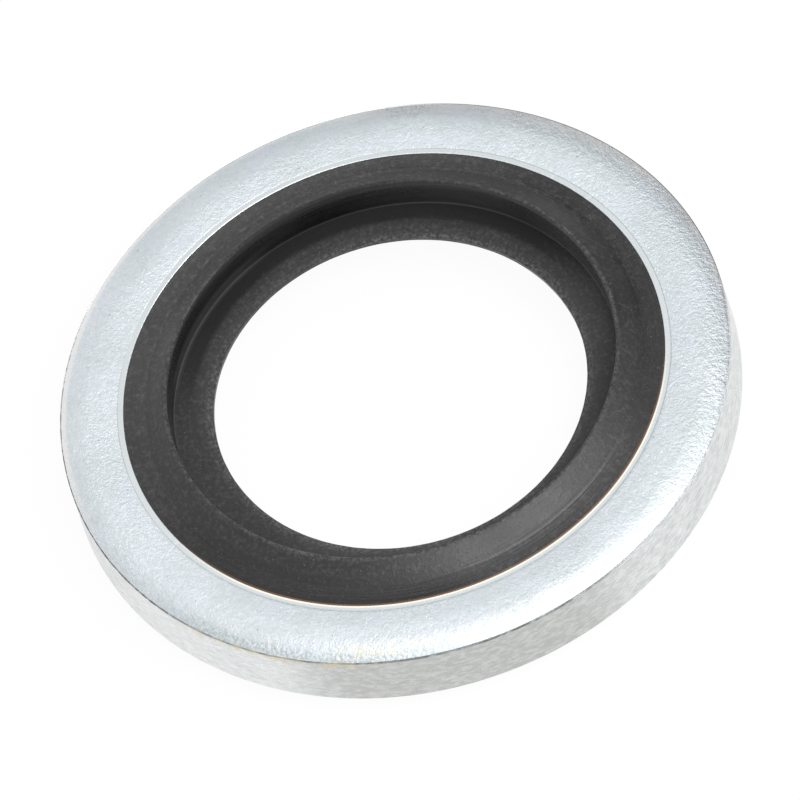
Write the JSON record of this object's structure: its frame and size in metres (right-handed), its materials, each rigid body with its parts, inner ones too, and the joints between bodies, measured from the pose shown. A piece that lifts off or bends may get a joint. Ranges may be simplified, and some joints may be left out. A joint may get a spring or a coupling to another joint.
{
  "type": "bonded sealing washer",
  "caption": "Flat steel ring with a moulded rubber seal bonded in its bore; its lips stand proud of both faces and a thin web centres it on a thread.",
  "frame": {"origin": "on the washer's axis, in the plane that the crest of the lower lip rests on", "axes": "+Z along the washer's axis, towards the face with the rounded rim; X and Y lie across it"},
  "size_m": [0.0206, 0.0206, 0.0029],
  "materials": {
    "zinc_plate": "bright zinc plate over blanked steel, finely grained, with a smoother cut edge",
    "nitrile_rubber": "matt black moulded rubber with fine turning marks from the mould and a little pale dust"
  },
  "bodies": {
    "root": {"steel_ring": "zinc_plate", "rubber_seal": "nitrile_rubber"}
  },
  "joints": []
}
